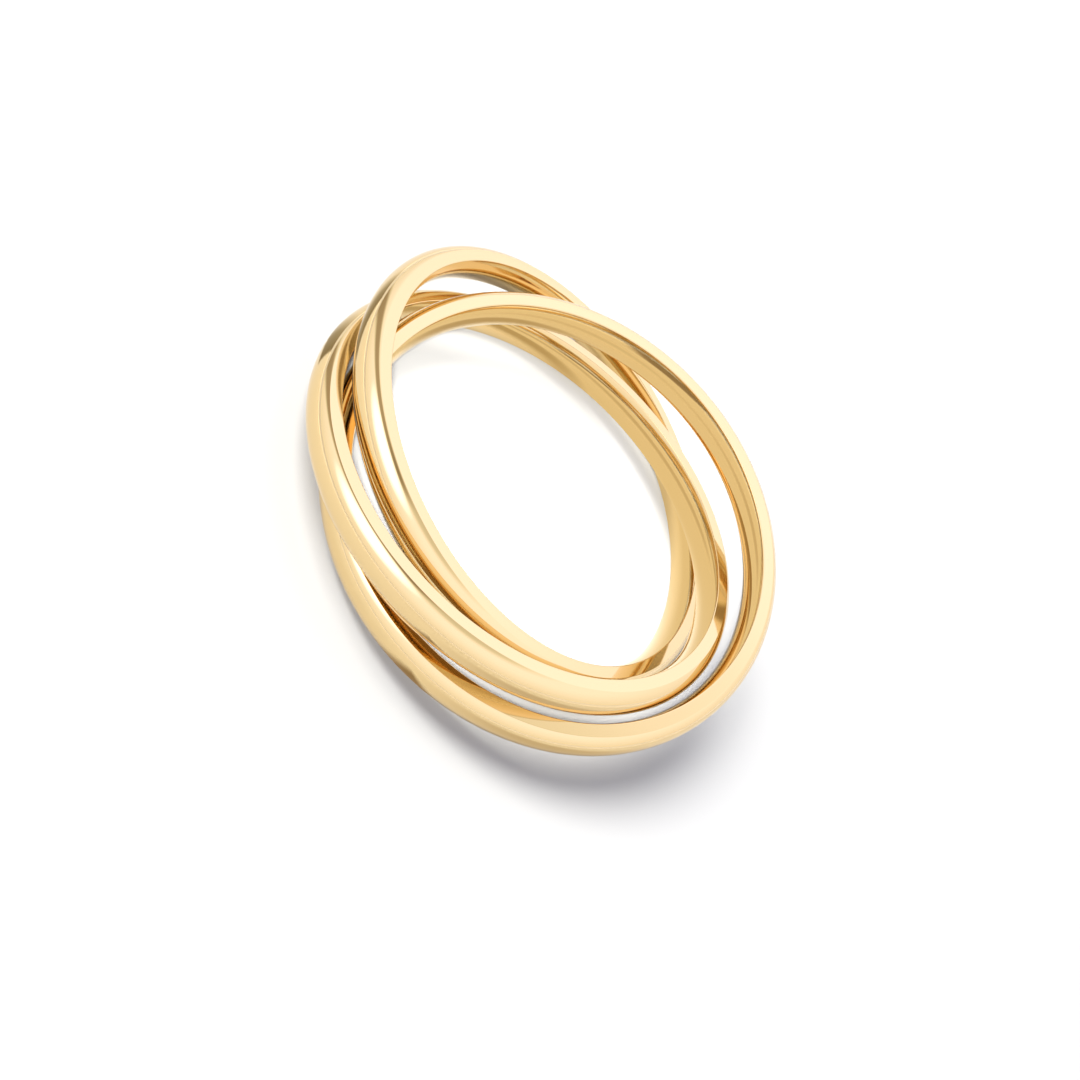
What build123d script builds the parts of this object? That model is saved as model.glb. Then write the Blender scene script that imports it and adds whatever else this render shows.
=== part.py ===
from build123d import *

import os
from collections import namedtuple
from math import asin, cos, radians, sin, sqrt

# Three equal bands of polished gold, linked through each other so that they roll along a finger.
# They lie on a table, splayed like a loose knot, and each band touches it at one point.
# Lengths are in millimetres and angles in degrees. +Z is up. The origin is on the table,
# under the middle of the group's box.

# The finger's hole and the section of a band
finger_hole = 17.3  # inside diameter, at the crest of the inner curve
comfort_rise = 0.15  # swell of the inside towards the finger
side_height = 0.48  # height of a flat side face, between its two edges
dome_rise = 0.48  # swell of the outside beyond the side faces
band_width = 1.5  # from one flat side to the other
edge_round = 0.04  # softening of the four edges
clearance = 0.15  # smallest air between two bands

# Radii of the section, from the finger outwards
crest_in = finger_hole / 2
edge_in = crest_in + comfort_rise
edge_out = edge_in + side_height
crest_out = edge_out + dome_rise
half_width = band_width / 2

# The arc of the dome, and the middle of the small round where it meets a side face
dome_radius = (dome_rise**2 + half_width**2) / (2 * dome_rise)
dome_centre = crest_out - dome_radius
round_up = half_width - edge_round
round_out = dome_centre + sqrt((dome_radius - edge_round) ** 2 - round_up**2)

# How each band lies. One side of it stands higher than the other by some band widths, it leans
# down towards a bearing, and its centre is off the knot's centre by some band thicknesses.
width_step = band_width + clearance
thickness_step = crest_out - crest_in + clearance
Lie = namedtuple("Lie", "name rise bearing east north")
lies = [
    Lie(name="front_band", rise=2.65, bearing=-75, east=1.58, north=0.47),
    Lie(name="left_band", rise=1.88, bearing=-159, east=0.87, north=-0.28),
    Lie(name="top_band", rise=1.38, bearing=97, east=-0.51, north=0.49),
]


def lean_angle(lie):
    """Angle between a band and the table, in radians."""
    return asin(lie.rise * width_step / (2 * edge_out))


def band_axis(lie):
    """Direction of a band's own axis, which tips towards the bearing that the band leans to."""
    lean = lean_angle(lie)
    bearing = radians(lie.bearing)
    return Vector(sin(lean) * cos(bearing), sin(lean) * sin(bearing), cos(lean))


def resting_height(lie):
    """Height of a band's centre when the round of its lowest edge meets the table."""
    lean = lean_angle(lie)
    return round_up * cos(lean) + round_out * sin(lean) + edge_round


def middle(places, directions):
    """Middle of the group's box along one horizontal axis."""
    reaches = [dome_centre * sqrt(1 - along**2) + dome_radius for along in directions]
    low = min(place - reach for place, reach in zip(places, reaches))
    high = max(place + reach for place, reach in zip(places, reaches))
    return (low + high) / 2


middle_x = middle([lie.east * thickness_step for lie in lies], [band_axis(lie).X for lie in lies])
middle_y = middle([lie.north * thickness_step for lie in lies], [band_axis(lie).Y for lie in lies])

os.makedirs("parts", exist_ok=True)

for lie in lies:
    centre = Vector(
        lie.east * thickness_step - middle_x,
        lie.north * thickness_step - middle_y,
        resting_height(lie),
    )
    flat = Plane(origin=centre, z_dir=band_axis(lie))
    upright = Plane(origin=centre, x_dir=flat.x_dir, z_dir=-flat.y_dir)

    # One closed section of the band, turned about the band's axis
    with BuildPart() as band:
        with BuildSketch(upright) as section:
            with BuildLine():
                Line((edge_in, -half_width), (edge_out, -half_width))
                ThreePointArc((edge_out, -half_width), (crest_out, 0), (edge_out, half_width))
                Line((edge_out, half_width), (edge_in, half_width))
                ThreePointArc((edge_in, half_width), (crest_in, 0), (edge_in, -half_width))
            make_face()
            fillet(section.vertices(), radius=edge_round)
        revolve(axis=Axis(centre, flat.z_dir), revolution_arc=360)
    band.part.label = lie.name
    export_step(band.part, f"parts/{lie.name}.step")
    print(lie.name, "centre", centre, "axis", flat.z_dir, "volume", band.part.volume)
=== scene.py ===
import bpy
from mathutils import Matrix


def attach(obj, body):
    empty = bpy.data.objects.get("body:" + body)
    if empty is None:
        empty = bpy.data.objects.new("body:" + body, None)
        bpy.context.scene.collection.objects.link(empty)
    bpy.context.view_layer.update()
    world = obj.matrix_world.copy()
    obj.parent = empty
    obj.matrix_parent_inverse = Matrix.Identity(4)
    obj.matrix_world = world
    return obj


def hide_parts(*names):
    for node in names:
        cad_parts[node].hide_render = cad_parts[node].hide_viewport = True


bl_info = {
    "name": "Rolling Ring",
    "version": (1, 0, 0),
    "blender": (4, 5, 0),
    "location": "3D View > Sidebar > Ring",
    "description": "Three linked bands of polished gold, splayed on a pale floor in a small studio",
    "category": "Add Mesh",
}

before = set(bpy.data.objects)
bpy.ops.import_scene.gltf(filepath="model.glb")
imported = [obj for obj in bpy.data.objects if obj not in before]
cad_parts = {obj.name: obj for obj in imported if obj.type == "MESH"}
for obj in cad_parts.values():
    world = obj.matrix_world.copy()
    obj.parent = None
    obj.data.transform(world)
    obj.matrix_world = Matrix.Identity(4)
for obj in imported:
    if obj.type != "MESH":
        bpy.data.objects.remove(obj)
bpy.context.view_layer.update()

from collections import namedtuple
from math import asin, cos, pi, radians, sin, sqrt, tan

import bpy
from bpy.props import FloatProperty, FloatVectorProperty, IntProperty, PointerProperty
from mathutils import Matrix, Vector

MM = 0.001

# How each band lies: one side of it stands higher than the other by some band widths, it leans
# down towards a bearing, and its centre is off the knot's centre by some band thicknesses.
LIES = {
    "front_band": {"body": "front", "rise": 2.65, "bearing": -75, "east": 1.58, "north": 0.47},
    "left_band": {"body": "left", "rise": 1.88, "bearing": -159, "east": 0.87, "north": -0.28},
    "top_band": {"body": "top", "rise": 1.38, "bearing": 97, "east": -0.51, "north": 0.49},
}

# Points along each part of a band's section
DOME_STEPS = 40
OUTER_ROUND_STEPS = 3
INNER_ROUND_STEPS = 6
COMFORT_STEPS = 20
SIDE_MARGIN = 0.02  # share of a flat side beyond the extra points that keep its shading flat
SEAM_REACH = 1e-7  # metres within which the points of a band's seam are joined

# The sky's tones by the sine of the height over the floor. It is darker overhead.
SKY_TONES = [
    (0, 1.08), (0.17, 1.17), (0.47, 1.3), (0.7, 1.4), (0.87, 1.42), (0.93, 1.25), (0.97, 0.95),
    (1, 0.85),
]

# The sky's tints by its brightness: warm where it is dark, cool where it is bright
SKY_TINTS = [
    (0.4, (1.15, 1, 0.82)), (0.85, (1, 1, 0.98)), (1.1, (1, 1, 1.03)), (1.55, (0.97, 1, 1.3)),
]
BRIGHTEST_TINT = 2  # brightness at which the run of tints ends

# Bright patches of the sky. Each lies towards a compass angle and a height, is whole as far as
# one angle from there and ends at another, all in degrees.
Patch = namedtuple("Patch", "azimuth height whole end")
PANEL = Patch(azimuth=152, height=36, whole=20, end=34)
GLOW = Patch(azimuth=-91, height=47, whole=4, end=28)

# The sky's dark gap. It follows the great circle square to one compass angle and height, on the
# side that another names. It fades out between two sines off the circle, and towards its ends
# between two cosines off that side's middle.
GAP_SQUARE_TO = (113, 9.4)
GAP_SIDE = (-153, 20)
GAP_EDGE = (0.07, 0.2)
GAP_ENDS = (0.3, 0.5)

# The floor and the wall, in metres
FLOOR_RINGS = (0.02, 0.06, 0.12, 0.2, 0.34)  # radii of the flat part's rings
RIM_RADIUS = 0.05  # of the curve by which the rim turns up
RIM_STEPS = 10
ROUND_STEPS = 96  # facets round the floor and the wall
# Painted light: the floor turns lighter away from this point, which makes up for the key lamp's
# falloff
RIM_TONE_MIDDLE = Vector((5, -30, 0)) * MM  # the floor turns to the rim's colour away from here
RIM_TONE_REACH = (0.035, 0.22)
WALL_RADIUS = 0.42
WALL_HEIGHTS = (-0.01, 0.6)

# The lamps: compass angle and height in degrees, distance and size in metres
KEY_HEADING = (-115, 58)
KEY_DISTANCE = 0.25
KEY_SIZE = 0.14
FILL_SIZE = 0.002


class BandSizes(bpy.types.PropertyGroup):
    finger_hole: FloatProperty(
        name="Finger hole", description="Inside diameter, at the crest of the inner curve",
        default=17.3 * MM, unit="LENGTH", precision=5)
    comfort_rise: FloatProperty(
        name="Comfort rise", description="Swell of the inside towards the finger",
        default=0.15 * MM, unit="LENGTH", precision=5)
    side_height: FloatProperty(
        name="Side height", description="Height of a flat side face between its two edges",
        default=0.48 * MM, unit="LENGTH", precision=5)
    dome_rise: FloatProperty(
        name="Dome rise", description="Swell of the outside beyond the side faces",
        default=0.48 * MM, unit="LENGTH", precision=5)
    band_width: FloatProperty(
        name="Band width", description="From one flat side to the other",
        default=1.5 * MM, unit="LENGTH", precision=5)
    edge_round: FloatProperty(
        name="Edge round", description="Softening of the four edges",
        default=0.04 * MM, unit="LENGTH", precision=5)
    clearance: FloatProperty(
        name="Clearance", description="Smallest air between two bands",
        default=0.15 * MM, unit="LENGTH", precision=5)
    facets: IntProperty(
        name="Facets", description="Facets round a band", default=360, min=48, max=720)


class GoldFinish(bpy.types.PropertyGroup):
    colour: FloatVectorProperty(
        name="Gold", description="Colour of the polished gold",
        default=(0.8, 0.597, 0.3), size=3, min=0, max=1, subtype="COLOR")
    roughness: FloatProperty(
        name="Polish", description="Roughness of the polished faces, 0 is a mirror",
        default=0.07, min=0, max=1)
    buffing: FloatProperty(
        name="Buffing", description="Depth of the waves that the buffing wheel leaves",
        default=0.0006 * MM, unit="LENGTH", precision=7)


class StudioSettings(bpy.types.PropertyGroup):
    floor_colour: FloatVectorProperty(
        name="Floor", description="Colour of the floor near the ring",
        default=(0.33, 0.326, 0.305), size=3, min=0, max=1, subtype="COLOR")
    # The rim's lighter colour is painted light, which makes up for the key lamp's falloff on the
    # far floor
    rim_colour: FloatVectorProperty(
        name="Rim", description="Colour of the floor's far rim, the horizon that the gold mirrors",
        default=(0.69, 0.69, 0.69), size=3, min=0, max=1, subtype="COLOR")
    sky: FloatProperty(
        name="Sky", description="Brightness of the sky round the ring", default=1.0)
    panel: FloatProperty(
        name="Panel", description="Brightness that the panel behind adds to the sky", default=0.15)
    gap: FloatProperty(
        name="Gap", description="Share of the sky's brightness that is left in its dark gap",
        default=0.34, min=0, max=1)
    glow: FloatProperty(
        name="Glow", description="Brightness that the front light adds to the sky", default=1.45)
    key: FloatProperty(
        name="Key", description="Power of the lamp that casts the shadow",
        default=1.55, unit="POWER")
    fill: FloatProperty(
        name="Fill", description="Power of the lamp at the camera, which lifts the inner shadows",
        default=0.28, unit="POWER")


# Helpers that make nodes, materials and objects

def wire(tree, value, socket):
    """Link an output to a socket, or set the socket to a plain value."""
    if isinstance(value, bpy.types.NodeSocket):
        tree.links.new(value, socket)
    else:
        socket.default_value = value


def maths(tree, operation, *terms):
    """Number that a math node makes of some terms."""
    node = tree.nodes.new("ShaderNodeMath")
    node.operation = operation
    for term, socket in zip(terms, node.inputs):
        wire(tree, term, socket)
    return node.outputs[0]


def vector_maths(tree, operation, *terms):
    """Number that a vector math node makes of some vectors."""
    node = tree.nodes.new("ShaderNodeVectorMath")
    node.operation = operation
    for term, socket in zip(terms, node.inputs):
        wire(tree, term, socket)
    return node.outputs["Value"]


def axes(tree, vector):
    """X, Y and Z of a vector."""
    node = tree.nodes.new("ShaderNodeSeparateXYZ")
    wire(tree, vector, node.inputs[0])
    return node.outputs


def joined(tree, x, y, z=0):
    """Vector made of X, Y and Z."""
    node = tree.nodes.new("ShaderNodeCombineXYZ")
    for value, socket in zip((x, y, z), node.inputs):
        wire(tree, value, socket)
    return node.outputs[0]


def soft_step(tree, value, start, end, low=0, high=1):
    """Smooth step from low to high as a value goes from start to end."""
    node = tree.nodes.new("ShaderNodeMapRange")
    node.interpolation_type = "SMOOTHSTEP"
    names = ("Value", "From Min", "From Max", "To Min", "To Max")
    for name, term in zip(names, (value, start, end, low, high)):
        wire(tree, term, node.inputs[name])
    return node.outputs[0]


def colour_run(tree, value, stops):
    """Colour that a run of (position, colour) stops gives for a value from 0 to 1."""
    node = tree.nodes.new("ShaderNodeValToRGB")
    wire(tree, value, node.inputs["Fac"])
    elements = node.color_ramp.elements
    while len(elements) < len(stops):
        elements.new(0.5)
    for element, (position, colour) in zip(elements, stops):
        element.position = position
        element.color = (*colour, 1)
    return node.outputs["Color"]


def grey(tone):
    return (tone, tone, tone)


def new_material(name):
    """Material with nodes, and its tree."""
    material = bpy.data.materials.new(name)
    material.use_nodes = True
    return material, material.node_tree


def new_object(name, data):
    """Object in the scene that shows a mesh, a lamp or a camera."""
    thing = bpy.data.objects.new(name, data)
    bpy.context.scene.collection.objects.link(thing)
    return thing


def new_sheet(name, points, faces, material):
    """Object with a mesh of these points and faces."""
    mesh = bpy.data.meshes.new(name)
    mesh.from_pydata(points, [], faces)
    mesh.materials.append(material)
    return new_object(name, mesh)


# The section of a band and how the bands lie

def section_radii(sizes):
    """Radii of the section: inner crest, inner edge, outer edge and outer crest."""
    crest_in = sizes.finger_hole / 2
    edge_in = crest_in + sizes.comfort_rise
    edge_out = edge_in + sizes.side_height
    crest_out = edge_out + sizes.dome_rise
    return crest_in, edge_in, edge_out, crest_out


def dome_arc(sizes):
    """Radius of the dome, and how far its centre and the outer rounds' are from the band's axis."""
    *_, crest_out = section_radii(sizes)
    half = sizes.band_width / 2
    soft = sizes.edge_round
    radius = (sizes.dome_rise**2 + half**2) / (2 * sizes.dome_rise)
    centre = crest_out - radius
    round_out = centre + sqrt((radius - soft) ** 2 - (half - soft) ** 2)
    return radius, centre, round_out


def arc_points(centre, radius, start, end, steps):
    """Points on an arc round a centre on the section, from one angle to another."""
    angles = [start + (end - start) * i / steps for i in range(steps + 1)]
    return [(centre[0] + radius * cos(a), centre[1] + radius * sin(a)) for a in angles]


def section_outline(sizes):
    """Closed outline of the section: dome, round, side, round, inner curve, round, side, round."""
    crest_in, *_ = section_radii(sizes)
    dome, dome_centre, round_out = dome_arc(sizes)
    half = sizes.band_width / 2
    soft = sizes.edge_round
    level = half - soft
    dome_turn = asin(level / (dome - soft))
    comfort = (sizes.comfort_rise**2 + half**2) / (2 * sizes.comfort_rise)
    comfort_centre = crest_in + comfort
    round_in = comfort_centre - sqrt((comfort - soft) ** 2 - level**2)
    comfort_turn = asin(level / (comfort - soft))
    margin = SIDE_MARGIN * (round_out - round_in)
    start, end = pi - comfort_turn, pi + comfort_turn
    points = arc_points((dome_centre, 0), dome, -dome_turn, dome_turn, DOME_STEPS)
    points += arc_points((round_out, level), soft, dome_turn, pi / 2, OUTER_ROUND_STEPS)[1:]
    points += [(round_out - margin, half), (round_in + margin, half)]
    points += arc_points((round_in, level), soft, pi / 2, start, INNER_ROUND_STEPS)
    points += arc_points((comfort_centre, 0), comfort, start, end, COMFORT_STEPS)[1:]
    points += arc_points((round_in, -level), soft, end, 1.5 * pi, INNER_ROUND_STEPS)[1:]
    points += [(round_in + margin, -half), (round_out - margin, -half)]
    last_turn = 2 * pi - dome_turn
    points += arc_points((round_out, -level), soft, 1.5 * pi, last_turn, OUTER_ROUND_STEPS)[:-1]
    return points


def band_places(sizes):
    """Centre and axis of each band as it lies, with the group's box over the origin."""
    crest_in, _, edge_out, crest_out = section_radii(sizes)
    dome, dome_centre, round_out = dome_arc(sizes)
    soft = sizes.edge_round
    level = sizes.band_width / 2 - soft
    width_step = sizes.band_width + sizes.clearance
    thickness_step = crest_out - crest_in + sizes.clearance
    places = {}
    for name, lie in LIES.items():
        lean = asin(lie["rise"] * width_step / (2 * edge_out))
        bearing = radians(lie["bearing"])
        axis = Vector((sin(lean) * cos(bearing), sin(lean) * sin(bearing), cos(lean)))
        height = level * cos(lean) + round_out * sin(lean) + soft
        centre = Vector((lie["east"] * thickness_step, lie["north"] * thickness_step, height))
        places[name] = (centre, axis)
    for i in (0, 1):
        reach = [(c[i], dome_centre * sqrt(1 - a[i] ** 2) + dome) for c, a in places.values()]
        middle = (min(c - r for c, r in reach) + max(c + r for c, r in reach)) / 2
        for centre, _ in places.values():
            centre[i] -= middle
    return places


# The tree of nodes that turns a section into a band

def turning_tree():
    """Geometry Nodes that turn a section round an axis, with named sizes."""
    tree = bpy.data.node_groups.new("turned_band", "GeometryNodeTree")
    sockets = {"Section": "Geometry", "Facets": "Int", "Centre": "Vector", "Axis": "Vector",
               "Gold": "Material"}
    for name, kind in sockets.items():
        tree.interface.new_socket(name, in_out="INPUT", socket_type="NodeSocket" + kind)
    tree.interface.new_socket("Band", in_out="OUTPUT", socket_type="NodeSocketGeometry")
    given = tree.nodes.new("NodeGroupInput").outputs

    def step(kind, **inputs):
        node = tree.nodes.new(kind)
        for name, value in inputs.items():
            wire(tree, value, node.inputs[name.replace("_", " ")])
        return node

    # A flat grid with one column more than there are facets, and one row more than section points
    count = step("GeometryNodeAttributeDomainSize", Geometry=given["Section"])
    section_points = count.outputs["Point Count"]
    rows = maths(tree, "ADD", section_points, 1)
    grid = step("GeometryNodeMeshGrid", Vertices_X=maths(tree, "ADD", given["Facets"], 1),
                Vertices_Y=rows)

    # Each grid point's place in the turn and on the section
    index = step("GeometryNodeInputIndex").outputs[0]
    column = maths(tree, "FLOOR", maths(tree, "DIVIDE", maths(tree, "ADD", index, 0.5), rows))
    row = maths(tree, "SUBTRACT", index, maths(tree, "MULTIPLY", column, rows))
    sample = tree.nodes.new("GeometryNodeSampleIndex")
    sample.data_type = "FLOAT_VECTOR"
    wire(tree, given["Section"], sample.inputs["Geometry"])
    wire(tree, step("GeometryNodeInputPosition").outputs[0], sample.inputs["Value"])
    wire(tree, maths(tree, "MODULO", row, section_points), sample.inputs["Index"])
    section = axes(tree, sample.outputs["Value"])
    share = maths(tree, "DIVIDE", column, given["Facets"])
    angle = maths(tree, "MULTIPLY", share, 2 * pi)
    place = joined(
        tree,
        maths(tree, "MULTIPLY", section["X"], maths(tree, "COSINE", angle)),
        maths(tree, "MULTIPLY", section["X"], maths(tree, "SINE", angle)),
        section["Y"],
    )

    # A map that runs round the band and across its section, kept on the corners so that its seam
    # stays open
    store = tree.nodes.new("GeometryNodeStoreNamedAttribute")
    store.data_type = "FLOAT2"
    store.domain = "CORNER"
    wire(tree, grid.outputs["Mesh"], store.inputs["Geometry"])
    wire(tree, "turned", store.inputs["Name"])
    chart = joined(tree, share, maths(tree, "DIVIDE", row, section_points))
    wire(tree, chart, store.inputs["Value"])

    bend = step("GeometryNodeSetPosition", Geometry=store.outputs[0], Position=place)
    close = step("GeometryNodeMergeByDistance", Geometry=bend.outputs[0], Distance=SEAM_REACH)

    # The band's own axis stood along the given one, at the given centre
    lean = step("FunctionNodeAlignRotationToVector", Vector=given["Axis"])
    lean.axis = "Z"
    move = step("GeometryNodeTransform", Geometry=close.outputs[0], Translation=given["Centre"],
                Rotation=lean.outputs[0])
    smooth = step("GeometryNodeSetShadeSmooth", Geometry=move.outputs[0])
    real = step("GeometryNodeRealizeInstances", Geometry=smooth.outputs[0])
    coat = step("GeometryNodeSetMaterial", Geometry=real.outputs[0], Material=given["Gold"])
    step("NodeGroupOutput", Band=coat.outputs[0])
    return tree


def turned_band(name, sizes, centre, axis, gold):
    """A band as a plain mesh piece, turned from its section by the tree."""
    outline = section_outline(sizes)
    section = bpy.data.meshes.new(name + "_section")
    edges = [(i, (i + 1) % len(outline)) for i in range(len(outline))]
    section.from_pydata([(across, along, 0) for across, along in outline], edges, [])
    blank = new_object(name + "_blank", section)
    tree = bpy.data.node_groups.get("turned_band") or turning_tree()
    turning = blank.modifiers.new("turning", "NODES")
    turning.node_group = tree
    values = {"Facets": sizes.facets, "Centre": centre, "Axis": axis, "Gold": gold}
    for item in tree.interface.items_tree:
        if item.in_out == "INPUT" and item.name in values:
            turning[item.identifier] = values[item.name]
    bpy.context.view_layer.update()
    graph = bpy.context.evaluated_depsgraph_get()
    made = blank.evaluated_get(graph)
    mesh = bpy.data.meshes.new_from_object(made, preserve_all_data_layers=True, depsgraph=graph)
    mesh.name = name
    bpy.data.objects.remove(blank)
    bpy.data.meshes.remove(section)
    return new_object(name, mesh)


# Finishes

def polished_gold(finish):
    """Mirror-bright pale yellow gold with the faint waves that a buffing wheel leaves."""
    material, tree = new_material("polished_gold")
    shader = tree.nodes["Principled BSDF"].inputs
    shader["Base Color"].default_value = (*finish.colour, 1)
    shader["Metallic"].default_value = 1.0
    shader["Roughness"].default_value = finish.roughness
    waves = tree.nodes.new("ShaderNodeTexNoise")
    waves.inputs["Scale"].default_value = 700
    waves.inputs["Detail"].default_value = 2
    wire(tree, tree.nodes.new("ShaderNodeTexCoord").outputs["Object"], waves.inputs["Vector"])
    bump = tree.nodes.new("ShaderNodeBump")
    bump.inputs["Strength"].default_value = 1.0
    bump.inputs["Distance"].default_value = finish.buffing
    wire(tree, waves.outputs["Fac"], bump.inputs["Height"])
    wire(tree, bump.outputs["Normal"], shader["Normal"])
    return material


def floor_paper(near, far):
    """Matt paper that turns from one colour near the ring to another at the rim. Its lighter colour
    away from the ring is painted light, which makes up for the key lamp's falloff so that the far
    floor stays white.
    """
    material, tree = new_material("studio_floor")
    shader = tree.nodes["Principled BSDF"].inputs
    shader["Roughness"].default_value = 0.9
    shader["Specular IOR Level"].default_value = 0.1
    place = tree.nodes.new("ShaderNodeTexCoord").outputs["Object"]
    reach = vector_maths(tree, "DISTANCE", place, RIM_TONE_MIDDLE)
    blend = soft_step(tree, reach, *RIM_TONE_REACH)
    mix = tree.nodes.new("ShaderNodeMix")
    mix.data_type = "RGBA"
    factor, first, second, mixed = mix.inputs[0], mix.inputs[6], mix.inputs[7], mix.outputs[2]
    wire(tree, blend, factor)
    first.default_value = (*near, 1)
    second.default_value = (*far, 1)
    wire(tree, mixed, shader["Base Color"])
    return material


def glow_paint(name, colour):
    """Material that glows in one colour, with its tree and the shader that glows."""
    material, tree = new_material(name)
    tree.nodes.clear()
    shine = tree.nodes.new("ShaderNodeEmission")
    shine.inputs["Color"].default_value = (*colour, 1)
    done = tree.nodes.new("ShaderNodeOutputMaterial")
    wire(tree, shine.outputs[0], done.inputs["Surface"])
    return material, tree, shine, done


# The studio

def heading(azimuth, height):
    """Direction towards a compass angle from +X and a height over the floor, in degrees."""
    a, h = radians(azimuth), radians(height)
    return Vector((cos(h) * cos(a), cos(h) * sin(a), sin(h)))


def studio_world(studio):
    """A pale sky with a brighter panel behind, a dark gap beside it that runs from the floor to
    the top, and one soft glow in front."""
    world = bpy.data.worlds.new("studio")
    bpy.context.scene.world = world
    world.use_nodes = True
    tree = world.node_tree
    way = tree.nodes.new("ShaderNodeTexCoord").outputs["Generated"]

    def along(direction):
        return vector_maths(tree, "DOT_PRODUCT", way, direction)

    def patch(spot, brightness):
        towards = along(heading(spot.azimuth, spot.height))
        end, whole = cos(radians(spot.end)), cos(radians(spot.whole))
        return soft_step(tree, towards, end, whole, 0, brightness)

    tones = colour_run(tree, along((0, 0, 1)), [(at, grey(tone)) for at, tone in SKY_TONES])
    paper = maths(tree, "MULTIPLY_ADD", tones, studio.sky, patch(PANEL, studio.panel))
    off_gap = soft_step(tree, maths(tree, "ABSOLUTE", along(heading(*GAP_SQUARE_TO))), *GAP_EDGE)
    left = soft_step(tree, along(heading(*GAP_SIDE)), *GAP_ENDS, 1, studio.gap)
    lost = maths(tree, "SUBTRACT", 1, left)
    shaded = maths(tree, "MULTIPLY", paper, maths(tree, "MULTIPLY_ADD", lost, off_gap, left))
    total = maths(tree, "ADD", shaded, patch(GLOW, studio.glow))
    stops = [(brightness / BRIGHTEST_TINT, tint) for brightness, tint in SKY_TINTS]
    tint = colour_run(tree, maths(tree, "DIVIDE", total, BRIGHTEST_TINT), stops)
    light = tree.nodes["Background"]
    wire(tree, total, light.inputs["Strength"])
    wire(tree, tint, light.inputs["Color"])
    return world


def bowl_floor(material):
    """A round floor whose rim curves up, as one smooth sheet."""
    flat = FLOOR_RINGS[-1]
    profile = [(ring, 0.0) for ring in FLOOR_RINGS]
    for a in (radians(90 * i / RIM_STEPS) for i in range(1, RIM_STEPS + 1)):
        profile.append((flat + RIM_RADIUS * sin(a), RIM_RADIUS * (1 - cos(a))))
    angles = [2 * pi * i / ROUND_STEPS for i in range(ROUND_STEPS)]
    points = [(0.0, 0.0, 0.0)] + [(r * cos(a), r * sin(a), z) for r, z in profile for a in angles]
    after = [(i, (i + 1) % ROUND_STEPS) for i in range(ROUND_STEPS)]
    faces = [(0, 1 + i, 1 + j) for i, j in after]
    for ring in range(len(profile) - 1):
        a, b = 1 + ring * ROUND_STEPS, 1 + (ring + 1) * ROUND_STEPS
        faces += [(a + i, b + i, b + j, a + j) for i, j in after]
    floor = new_sheet("studio_floor", points, faces, material)
    floor.data.shade_smooth()
    return floor


def white_wall():
    """A round white wall behind the floor's rim. Only the camera sees it, in low views."""
    angles = [2 * pi * i / ROUND_STEPS for i in range(ROUND_STEPS)]
    points = [(WALL_RADIUS * cos(a), WALL_RADIUS * sin(a), z) for z in WALL_HEIGHTS for a in angles]
    after = [(i, (i + 1) % ROUND_STEPS) for i in range(ROUND_STEPS)]
    faces = [(i, ROUND_STEPS + i, ROUND_STEPS + j, j) for i, j in after]
    material, *_ = glow_paint("white_wall", (1, 1, 1))
    wall = new_sheet("white_wall", points, faces, material)
    wall.visible_glossy = wall.visible_diffuse = wall.visible_shadow = False
    wall.visible_transmission = wall.visible_volume_scatter = False
    return wall


def key_lamp(power):
    """Round soft lamp at the left of the camera, which looks at the ring and casts its shadow."""
    direction = heading(*KEY_HEADING)
    data = bpy.data.lights.new("key_lamp", "AREA")
    data.shape = "DISK"
    data.size = KEY_SIZE
    data.energy = power
    lamp = new_object("key_lamp", data)
    lamp.location = direction * KEY_DISTANCE
    lamp.rotation_mode = "QUATERNION"
    lamp.rotation_quaternion = direction.to_track_quat("Z", "Y")
    lamp.visible_glossy = False
    return lamp


def fill_spot(camera, power):
    """Spot at the camera with an oval beam that ends on the bands, so that they hide its shadows
    and its edge. The beam is as long and wide as the ring is from there, and tilted and turned to
    suit."""
    beam_long, beam_wide = radians(12.5), radians(9.4)
    lift, turn = radians(1.6), radians(-51.8)
    data = bpy.data.lights.new("fill_lamp", "SPOT")
    data.energy = power
    data.spot_size = 2 * beam_long
    data.spot_blend = 0.2
    data.shadow_soft_size = FILL_SIZE
    lamp = new_object("fill_lamp", data)
    aim = camera.matrix_world @ Matrix.Rotation(lift, 4, "X") @ Matrix.Rotation(turn, 4, "Z")
    lamp.matrix_world = aim @ Matrix.Diagonal((1, tan(beam_wide) / tan(beam_long), 1, 1))
    lamp.visible_glossy = False
    return lamp


# Painted reflections: glowing cards that only the gold mirrors, which paint light and shade into it

def round_fade(whole):
    """Fade of a card with a reach of 1 by 1 (before scaling), from a share of that to its rim."""
    def fade(tree, place):
        return soft_step(tree, vector_maths(tree, "LENGTH", place), 1, whole)
    return fade


def box_fade(whole, slant):
    """Fade across the four edges of a card with a reach of 1 by 1, whose two sides slant."""
    def fade(tree, place):
        split = axes(tree, place)
        across = maths(tree, "MULTIPLY_ADD", split["Y"], slant, split["X"])
        sizes = [maths(tree, "ABSOLUTE", value) for value in (across, split["Y"])]
        return soft_step(tree, maths(tree, "MAXIMUM", *sizes), 1, whole)
    return fade


def wedge_fade(start, spread):
    """Fade across a wedge that widens along X: sharp on its first side, soft on its other one."""
    def fade(tree, place):
        split = axes(tree, place)
        width = maths(tree, "MULTIPLY_ADD", split["X"], spread, start)
        share = maths(tree, "DIVIDE", split["Y"], width)
        stops = [(0.0, 0.0), (0.08, 1.0), (0.55, 0.8), (1.0, 0.0)]
        return colour_run(tree, share, [(at, grey(tone)) for at, tone in stops])
    return fade


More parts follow.
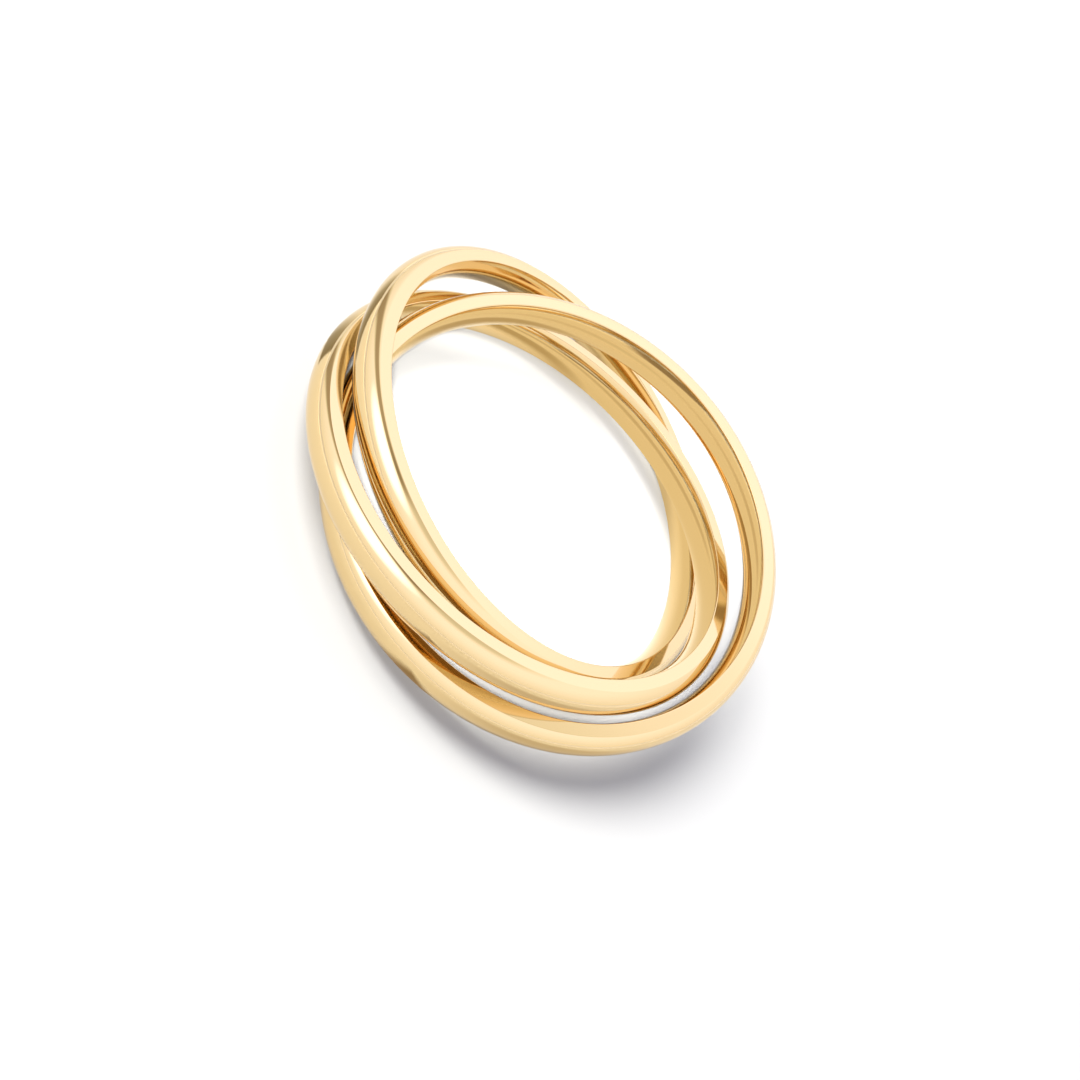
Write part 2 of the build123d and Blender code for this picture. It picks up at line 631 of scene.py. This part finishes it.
def painted_reflection_card(name, corners, colour, strength, fade):
    """Flat glowing card that only the gold mirrors: a painted reflection, whose colour paints light
    into the gold's reflections where it is pale and shade where it is dark. fade(tree, place) gives
    how solid it is at a place on it, in its own coordinates."""
    material, tree, shine, done = glow_paint(name, colour)
    place = tree.nodes.new("ShaderNodeTexCoord").outputs["Object"]
    mix = tree.nodes.new("ShaderNodeMixShader")
    clear = tree.nodes.new("ShaderNodeBsdfTransparent")
    solid = maths(tree, "MULTIPLY", fade(tree, place), strength)
    for value, socket in zip((solid, clear.outputs[0], shine.outputs[0]), mix.inputs):
        wire(tree, value, socket)
    wire(tree, mix.outputs[0], done.inputs["Surface"])
    points = [(x, y, 0) for x, y in corners]
    card = new_sheet(name, points, [tuple(range(len(corners)))], material)
    card.visible_camera = card.visible_diffuse = card.visible_shadow = False
    card.visible_transmission = card.visible_volume_scatter = False
    return card


def painted_reflection_cards():
    """Glowing cards just over the floor that paint reflections into the gold. A warm one fills the
    hollow and paints a warm reflection into the bands' insides. An amber one, a small amber one and
    a brown one lie on it and paint darker amber and brown reflections there. A soft painted shade
    lies in front of the ring, and the lower domes mirror it. A dark wedge leads away at the left
    and paints a dark reflection."""
    square = [(-1, -1), (1, -1), (1, 1), (-1, 1)]
    slant = 0.8
    slanted = [(x - slant * y, y) for x, y in square]

    # Name, corners, colour, strength, fade, place in mm, turn in degrees, reach in mm
    # Each card's colour is a painted reflection: pale ones paint light, dark ones paint shade
    cards = []
    for name, corners, colour, strength, fade, place, turn, reach in (
        ("warm_reflection_card", square, (0.93, 0.82, 0.61), 0.92, round_fade(0.6),
         (-1.4, 2, 0.03), 0, (8.6, 8.6)),
        ("amber_reflection_card", square, (0.55, 0.44, 0.26), 0.85, round_fade(0.3),
         (-6.2, -0.3, 0.04), 106, (5, 1.3)),
        ("amber_reflection_spot_card", square, (0.66, 0.55, 0.36), 0.75, round_fade(0.2),
         (-2.5, 2.6, 0.04), 0, (1.9, 1.5)),
        ("brown_reflection_card", slanted, (0.32, 0.24, 0.15), 0.95, box_fade(0.7, slant),
         (6.1, -1.6, 0.04), 0, (3, 4.9)),
        ("shade_card", square, (0.5, 0.42, 0.3), 0.6, round_fade(0.15),
         (15, 3, 0.05), 0, (9, 12)),
    ):
        card = painted_reflection_card(name, corners, colour, strength, fade)
        card.location = Vector(place) * MM
        card.rotation_euler = (0, 0, radians(turn))
        card.scale = (reach[0] * MM, reach[1] * MM, 1)
        cards.append(card)

    # The wedge is drawn at its real size, in metres, and turned over
    long, start, spread = 300 * MM, 3 * MM, 0.36
    corners = [(0, 0), (long, 0), (long, start + spread * long), (0, start)]
    # The wedge's dark colour paints a dark reflection into the domes
    dark = painted_reflection_card("dark_reflection_card", corners, (0.22, 0.18, 0.1), 0.9, wedge_fade(start, spread))
    dark.location = Vector((-3.5, -11.2, 0.05)) * MM
    dark.rotation_euler = (0, 0, radians(-154.5))
    dark.scale = (1, -1, 1)
    return cards + [dark]


# The camera

def photo_camera():
    """Camera where the photograph was taken from, rolled as it was."""
    place = Vector((24.76352, -24.13588, 32.53697)) * MM
    look = Vector((-0.49613798, 0.53848742, -0.68108619)).normalized()
    up = Vector((-0.86819173, -0.31626929, 0.38238311))
    right = look.cross(up).normalized()
    up = right.cross(look)
    focal, half_frame = 1155.17, 540  # pixels of the 1080 x 1080 frame
    data = bpy.data.cameras.new("photo_camera")
    data.sensor_width = 36
    data.lens = data.sensor_width / 2 * focal / half_frame
    data.clip_start = 0.001
    data.clip_end = 5
    camera = new_object("photo_camera", data)
    turn = Matrix((right, up, -look)).transposed().to_4x4()
    camera.matrix_world = Matrix.Translation(place) @ turn
    bpy.context.scene.camera = camera
    return camera


# Operators and panel

class RING_OT_bands(bpy.types.Operator):
    """Make the three linked bands in place of the plain ones"""
    bl_idname = "ring.bands"
    bl_label = "Linked bands"

    def execute(self, context):
        sizes = context.scene.band_sizes
        gold = polished_gold(context.scene.gold_finish)
        for name, (centre, axis) in band_places(sizes).items():
            band = turned_band("polished_" + name, sizes, centre, axis, gold)
            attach(band, LIES[name]["body"])
            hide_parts(name)
        return {"FINISHED"}


class RING_OT_stage(bpy.types.Operator):
    """Make the floor, the light, the glowing cards that paint reflections into the gold, and the
    camera
    """
    bl_idname = "ring.stage"
    bl_label = "Stage"

    def execute(self, context):
        studio = context.scene.studio_settings
        floor = bowl_floor(floor_paper(studio.floor_colour, studio.rim_colour))
        white_wall()
        studio_world(studio)
        key_lamp(studio.key)
        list(painted_reflection_cards())
        fill_spot(photo_camera(), studio.fill)
        context.scene.view_settings.view_transform = "Standard"
        return {"FINISHED"}


class RING_PT_panel(bpy.types.Panel):
    """Ring and stage"""
    bl_idname = "RING_PT_panel"
    bl_label = "Rolling Ring"
    bl_space_type = "VIEW_3D"
    bl_region_type = "UI"
    bl_category = "Ring"

    def draw(self, context):
        layout = self.layout
        scene = context.scene
        for group in (scene.band_sizes, scene.gold_finish, scene.studio_settings):
            box = layout.box()
            for name in group.bl_rna.properties.keys():
                if name not in ("rna_type", "name"):
                    box.prop(group, name)
        layout.operator("ring.bands")
        layout.operator("ring.stage")


CLASSES = (BandSizes, GoldFinish, StudioSettings, RING_OT_bands, RING_OT_stage, RING_PT_panel)


def register():
    for cls in CLASSES:
        bpy.utils.register_class(cls)
    bpy.types.Scene.band_sizes = PointerProperty(type=BandSizes)
    bpy.types.Scene.gold_finish = PointerProperty(type=GoldFinish)
    bpy.types.Scene.studio_settings = PointerProperty(type=StudioSettings)


def unregister():
    del bpy.types.Scene.studio_settings
    del bpy.types.Scene.gold_finish
    del bpy.types.Scene.band_sizes
    for cls in reversed(CLASSES):
        bpy.utils.unregister_class(cls)


def main():
    register()
    bpy.ops.ring.bands()
    bpy.ops.ring.stage()


if __name__ == "__main__":
    main()
